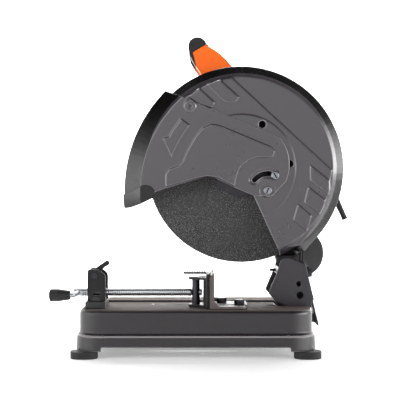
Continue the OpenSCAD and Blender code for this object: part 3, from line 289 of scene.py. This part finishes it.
LOOK = {
    BASE_PAINT: ["base_pan", "pivot_bracket"],
    RUBBER: ["rubber_feet", "tail_bumper", "cord_boot"],
    ZINC: ["foot_sleeves", "vise_block_bolts", "screw_clip",
           "guard_mount_screws", "housing_screws", "guard_stop_screw", "guard_pivot_screw",
           "disc_bolt"],
    ZINC_X: ["vise_screw", "crank_arm"],
    BRONZE: ["hinge_bushes", "brush_holders"],
    CAST_GREY: ["vise_block"],
    CAST_BLACK: ["arm"],
    BLACK_PAINT: ["vise_bracket", "vise_jaw", "release_lever", "stop_bolt"],
    SHADE_BLACK: ["hinge_pin"],
    FENCE_PAINT: ["fence"],
    DARK_STEEL: ["trunnion_pin", "return_spring", "drive_gear", "inner_flange",
                 "outer_flange", "arm_bolts", "half_nut", "lever_pin", "fence_bolts"],
    GROUND: ["spindle", "armature_shaft", "spindle_bearings", "motor_bearings"],
    GUARD_PAINT: ["fixed_guard", "moving_guard"],
    BRACKET_PAINT: ["head_bracket"],
    CAST_ALU: ["gear_housing", "gear_cover"],
    BLACK_PLASTIC: ["motor_housing", "end_cap", "brush_caps", "switch_body", "cooling_fan",
                    "lock_button", "spindle_lock", "crank_grip"],
    LAMINATED: ["stator", "armature_core"],
    COPPER: ["commutator"],
    ORANGE: ["handle_shell_front", "handle_shell_rear", "trigger"],
    SOFT_BLACK: ["soft_grip"],
    SMOKED: ["guard_tip"],
    ABRASIVE: ["abrasive_disc"],
}
MAT_OF = {n: m for m, ns in LOOK.items() for n in ns}
for node, material in MAT_OF.items():
    dress(NODES[node], material)


# ---------- finished pieces ----------
def piece(name, mesh, body, material):
    obj = bpy.data.objects.new(name, mesh)
    SCENE.collection.objects.link(obj)
    dress(obj, material)
    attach(obj, body)
    return obj


def bake(obj):
    """Applies the object's modifiers to its mesh."""
    dg = bpy.context.evaluated_depsgraph_get()
    mesh = bpy.data.meshes.new_from_object(obj.evaluated_get(dg))
    obj.modifiers.clear()
    obj.data = mesh


# Vertices closer than this are one, in metres.
WELD = 0.002 * MM


def formed(node, voxel, rounds, keep=1.0, factor=0.5):
    """A pressed, moulded or cast copy of a CAD node: its sharp edges are rolled over.

    rounds and factor set how far; keep is the share of the faces that stays.
    """
    mesh = NODES[node].data.copy()
    mesh.name = node + "_formed"
    obj = bpy.data.objects.new(node + "_formed", mesh)
    SCENE.collection.objects.link(obj)
    bm = bmesh.new()
    bm.from_mesh(mesh)
    bmesh.ops.remove_doubles(bm, verts=bm.verts, dist=WELD)
    bm.to_mesh(mesh)
    bm.free()
    m = obj.modifiers.new("voxel", "REMESH")
    m.mode = "VOXEL"
    m.voxel_size = voxel
    m.use_smooth_shade = True
    s = obj.modifiers.new("roll", "SMOOTH")
    s.factor = factor
    s.iterations = rounds
    if keep < 1:
        d = obj.modifiers.new("thin", "DECIMATE")
        d.ratio = keep
        w = obj.modifiers.new("even", "WEIGHTED_NORMAL")
        w.weight = 100
    bake(obj)
    obj.data.shade_smooth()
    dress(obj, MAT_OF[node])
    if node in ("fixed_guard", "moving_guard"):
        black_rim(obj)
    if node == "base_pan":
        base_top_and_ledge_light(obj)
    if node in ("guard_stop_screw", "guard_pivot_screw"):
        slot_floor_shade(obj, middle(node))
    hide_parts(node)
    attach(obj, BODY[node])


def repaint(obj, material, where):
    """Puts the material on the faces for which where(normal, centre) holds."""
    obj.data.materials.append(material)
    slot = len(obj.data.materials) - 1
    for p in obj.data.polygons:
        if where(p.normal, p.center):
            p.material_index = slot


def off_axis(point, axis):
    """Distance of a point from an axis along Y."""
    return math.hypot(point.x - axis.x, point.z - axis.z)


def base_top_and_ledge_light(obj):
    """The table top in a rougher paint, lighter and browner as a painted reflection, and a painted
    highlight on the edges of the two steps round the pan.
    """
    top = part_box("base_pan")[1].z
    channel, skirt = top - 4 * MM, top - 44.5 * MM
    repaint(obj, TABLE_TOP_REFLECTION, lambda normal, at: normal.z > 0.8 and at.z > channel)
    repaint(obj, LEDGE_HIGHLIGHT, lambda normal, at: normal.z > 0.3 and at.z < skirt)


def slot_floor_shade(obj, axis):
    """Painted shade in the floor of a screw's slot."""
    head, shallow, deep = 5.9 * MM, 0.45 * MM, 1.05 * MM
    front = min(v.co.y for v in obj.data.vertices)
    repaint(obj, SHADE_BLACK, lambda normal, at: front + shallow < at.y < front + deep
            and normal.y < -0.3 and off_axis(at, axis) < head)


def black_rim(obj):
    """The glossy rim of a guard: all of it that slopes away outside the flat face."""
    face, flat = 178 * MM, -0.86
    axis = middle("abrasive_disc")
    repaint(obj, RIM_PAINT, lambda normal, at: off_axis(at, axis) > face and normal.y > flat)


def grid_mesh(name, rings, capped=True):
    """A skin over equal rings of points; its two ends are capped, or else joined to each other."""
    bm = bmesh.new()
    rows = [[bm.verts.new(p) for p in ring] for ring in rings]
    n = len(rows[0])
    for a, b in zip(rows, rows[1:]):
        for i in range(n):
            j = (i + 1) % n
            bm.faces.new((a[i], a[j], b[j], b[i]))
    if capped:
        bm.faces.new(list(reversed(rows[0])))
        bm.faces.new(rows[-1])
    else:
        for i in range(n):
            j = (i + 1) % n
            bm.faces.new((rows[-1][i], rows[-1][j], rows[0][j], rows[0][i]))
    bmesh.ops.recalc_face_normals(bm, faces=bm.faces)
    mesh = bpy.data.meshes.new(name)
    bm.to_mesh(mesh)
    bm.free()
    mesh.shade_smooth()
    return mesh


def middle(node):
    lo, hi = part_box(node)
    return (lo + hi) / 2


def thread_dip(phase):
    """Depth of a trapezoidal thread, 0 at the crest and 1 at the root."""
    phase %= 1.0
    if phase < 0.36:
        return 0.0
    if phase < 0.5:
        return (phase - 0.36) / 0.14
    return 1.0 if phase < 0.86 else (1.0 - phase) / 0.14


def vise_screw():
    """The vise screw with its real thread between the crank end and the journal."""
    lo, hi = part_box("vise_screw")
    c = middle("vise_screw")
    r, pitch, depth, n = (hi.z - lo.z) / 2, 4 * MM, 0.6 * MM, 36
    journal, collar = 5 * MM, 5.8 * MM
    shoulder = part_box("trunnion_pin")[0].x - 0.8 * MM
    start, end = lo.x + 16 * MM, shoulder - 3 * MM
    rings = []

    def ring(x, radius):
        rings.append([(x, c.y + radius(i) * math.cos(2 * math.pi * i / n),
                       c.z + radius(i) * math.sin(2 * math.pi * i / n)) for i in range(n)])

    for x, rr in ((lo.x, r - 1 * MM), (lo.x + 1 * MM, r), (start - 0.1 * MM, r)):
        ring(x, lambda i, rr=rr: rr)
    steps = int((end - start) / (pitch / 10))
    for k in range(steps + 1):
        x = start + (end - start) * k / steps
        fade = min(1.0, (x - start) / (3 * MM), (end - x) / (3 * MM))
        ring(x, lambda i, x=x, f=max(fade, 0): r - depth * f * thread_dip(x / pitch - i / n))
    for x, rr in ((end + 0.1 * MM, r), (shoulder, r), (shoulder, journal),
                  (hi.x - 1.7 * MM, journal), (hi.x - 1.7 * MM, collar), (hi.x, collar)):
        ring(x, lambda i, rr=rr: rr)
    obj = piece("vise_screw_threaded", grid_mesh("vise_screw_threaded", rings), "screw", ZINC_X)
    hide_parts("vise_screw")


def return_spring():
    """The torsion spring, wound round the hinge pin."""
    lo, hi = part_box("return_spring")
    pin = middle("hinge_pin")
    wire = 2 * MM
    r = (hi.x - lo.x) / 2 - wire
    turns, n = 7, 32
    total = turns * n
    pts = [Vector((pin.x + r * math.cos(2 * math.pi * i / n),
                   lo.y + wire + (hi.y - lo.y - 2 * wire) * i / total,
                   pin.z + r * math.sin(2 * math.pi * i / n))) for i in range(total + 1)]
    rings = []
    sides = 10
    for i, p in enumerate(pts):
        along = (pts[min(i + 1, total)] - pts[max(i - 1, 0)]).normalized()
        out = Vector((p.x - pin.x, 0, p.z - pin.z)).normalized()
        side = along.cross(out).normalized()
        out = side.cross(along).normalized()
        rings.append([p + wire * (math.cos(2 * math.pi * k / sides) * out
                                  + math.sin(2 * math.pi * k / sides) * side)
                      for k in range(sides)])
    obj = piece("return_spring_wound", grid_mesh("return_spring_wound", rings), "head", DARK_STEEL)
    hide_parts("return_spring")


def disc():
    """The abrasive disc: a ragged rim, faces a little hollow inside it, and a bore ring."""
    lo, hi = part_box("abrasive_disc")
    c = middle("abrasive_disc")
    r, t = (hi.x - lo.x) / 2, (hi.y - lo.y) / 2
    bore = 12.7 * MM
    steps = 480
    profile = [(bore, t), (bore + 2 * MM, t), (bore + 2.3 * MM, 0.9 * t), (0.3 * r, 0.9 * t),
               (0.33 * r, t), (0.6 * r, 0.96 * t), (0.9 * r, 0.96 * t), (r - 3 * MM, 0.98 * t),
               (r - 1.2 * MM, 0.97 * t), (r - 0.3 * MM, 0.8 * t), (r, 0.45 * t)]
    profile = profile + [(a, -b) for a, b in reversed(profile)]
    rings = []
    for k in range(steps):
        a = 2 * math.pi * k / steps
        rag = 0.5 + 0.5 * math.sin(37 * a) * math.sin(91 * a + 1.3) * math.cos(173 * a + 0.4)
        ring = []
        for rr, y in profile:
            cut = 0.35 * MM * rag * max(0.0, 1 - (r - rr) / (2 * MM))
            ring.append((c.x + (rr - cut) * math.cos(a), c.y + y, c.z + (rr - cut) * math.sin(a)))
        rings.append(ring)
    obj = piece("abrasive_disc_grained", grid_mesh("abrasive_disc_grained", rings, capped=False),
                "spindle", ABRASIVE)
    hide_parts("abrasive_disc")


vise_screw()
return_spring()
disc()


# Node: voxel size in mm, rounds of smoothing, share of the faces that stays.
FORMED = {
    "moving_guard": (0.83, 11, 0.6), "fixed_guard": (1.03, 10, 0.45),
    "handle_shell_front": (1.0, 12, 0.4), "handle_shell_rear": (1.0, 12, 0.4),
    "soft_grip": (0.7, 8, 0.4), "trigger": (0.6, 6, 0.4),
    "arm": (1.5, 8, 0.4), "base_pan": (1.1, 4, 0.3), "pivot_bracket": (1.0, 3, 0.4),
    "rubber_feet": (0.8, 5, 0.4), "tail_bumper": (0.6, 5, 0.4), "cord_boot": (0.45, 3, 0.4),
    "vise_jaw": (0.6, 3, 0.4), "vise_bracket": (0.6, 3, 0.4), "vise_block": (0.7, 3, 0.4),
    "release_lever": (0.5, 6, 0.4), "fence": (0.8, 4, 0.4), "head_bracket": (0.8, 3, 0.4),
    "guard_tip": (0.6, 4, 0.5), "crank_grip": (0.5, 3, 0.4),
    "guard_stop_screw": (0.3, 2, 0.5), "guard_pivot_screw": (0.3, 2, 0.5),
}
for node, (voxel, rounds, keep) in FORMED.items():
    formed(node, voxel * MM, rounds, keep)


# ---------- floor, light, camera ----------
# Strength of the surrounding light, level with the part.
FRONT, LEFT, RIGHT = 1.2, 2.9, 8.2


def stage():
    """A pale floor that curves up into a backdrop."""
    bm = bmesh.new()
    r, front, back, top, half = 1.2, -6.0, 3.0, 5.0, 9.0
    line = [(front, 0.0), (back - r, 0.0)]
    line += [(back - r + r * math.sin(a * math.pi / 24), r - r * math.cos(a * math.pi / 24))
             for a in range(1, 13)]
    line.append((back, top))
    left = [bm.verts.new((-half, y, z)) for y, z in line]
    right = [bm.verts.new((half, y, z)) for y, z in line]
    for i in range(len(line) - 1):
        bm.faces.new((left[i], right[i], right[i + 1], left[i + 1]))
    mesh = bpy.data.meshes.new("backdrop")
    bm.to_mesh(mesh)
    bm.free()
    obj = bpy.data.objects.new("backdrop", mesh)
    SCENE.collection.objects.link(obj)
    obj.data.shade_smooth()
    s = Shader("pale_floor", (0.93, 0.93, 0.93), 0.9)
    s.set("Specular IOR Level", 0.1)
    s.set("Emission Color", (1, 1, 1, 1))
    s.set("Emission Strength", 0.3)
    dress(obj, s.done())


def panel(name, place, target, size, power):
    """A rectangular lamp that faces its target."""
    light = bpy.data.lights.new(name, "AREA")
    light.shape = "RECTANGLE"
    light.size, light.size_y = size
    light.energy = power
    obj = bpy.data.objects.new(name, light)
    obj.location = place
    obj.rotation_euler = (Vector(target) - Vector(place)).to_track_quat("-Z", "Y").to_euler()
    SCENE.collection.objects.link(obj)


def studio():
    """Bright on both sides, dimmer in front and dark overhead."""
    world = bpy.data.worlds.new("studio")
    SCENE.world = world
    world.use_nodes = True
    nt = world.node_tree
    back = nt.nodes["Background"]
    back.inputs["Color"].default_value = (1, 1, 1, 1)
    where = nt.nodes.new("ShaderNodeTexCoord").outputs["Generated"]
    axes = nt.nodes.new("ShaderNodeSeparateXYZ")
    nt.links.new(where, axes.inputs[0])
    left = ramp(nt, axes.outputs["X"], -0.4, -0.8, FRONT, LEFT)
    right = ramp(nt, axes.outputs["X"], 0.5, 0.9, 0.0, RIGHT - FRONT)
    height = ramp(nt, axes.outputs["Z"], 0.12, 0.50, 1.0, 0.01)
    strength = joined(nt, "MULTIPLY", joined(nt, "ADD", left, right), height)
    nt.links.new(strength, back.inputs["Strength"])


stage()
studio()
panel("left_panel", (-2.4, -1.0, 0.6), (0, 0, 0.25), (1.2, 1.1), 10)
panel("right_panel", (2.5, -0.6, 0.6), (0, 0, 0.25), (1.2, 1.1), 8)
panel("front_fill", (-1.3, -2.4, 1.5), (0, 0, 0.3), (2.4, 0.8), 26)
panel("back_wash", (0, 1.6, 2.4), (0, 2.9, 0.4), (4.0, 1.0), 170)

cam = bpy.data.cameras.new("camera")
cam.lens = 97.2
cam.sensor_width = 36
cam_obj = bpy.data.objects.new("camera", cam)
cam_obj.location = (0.0073, -2.028, 0.279)
cam_obj.rotation_euler = (math.radians(90), 0, 0)
SCENE.collection.objects.link(cam_obj)
SCENE.camera = cam_obj
SCENE.view_settings.view_transform = "Standard"
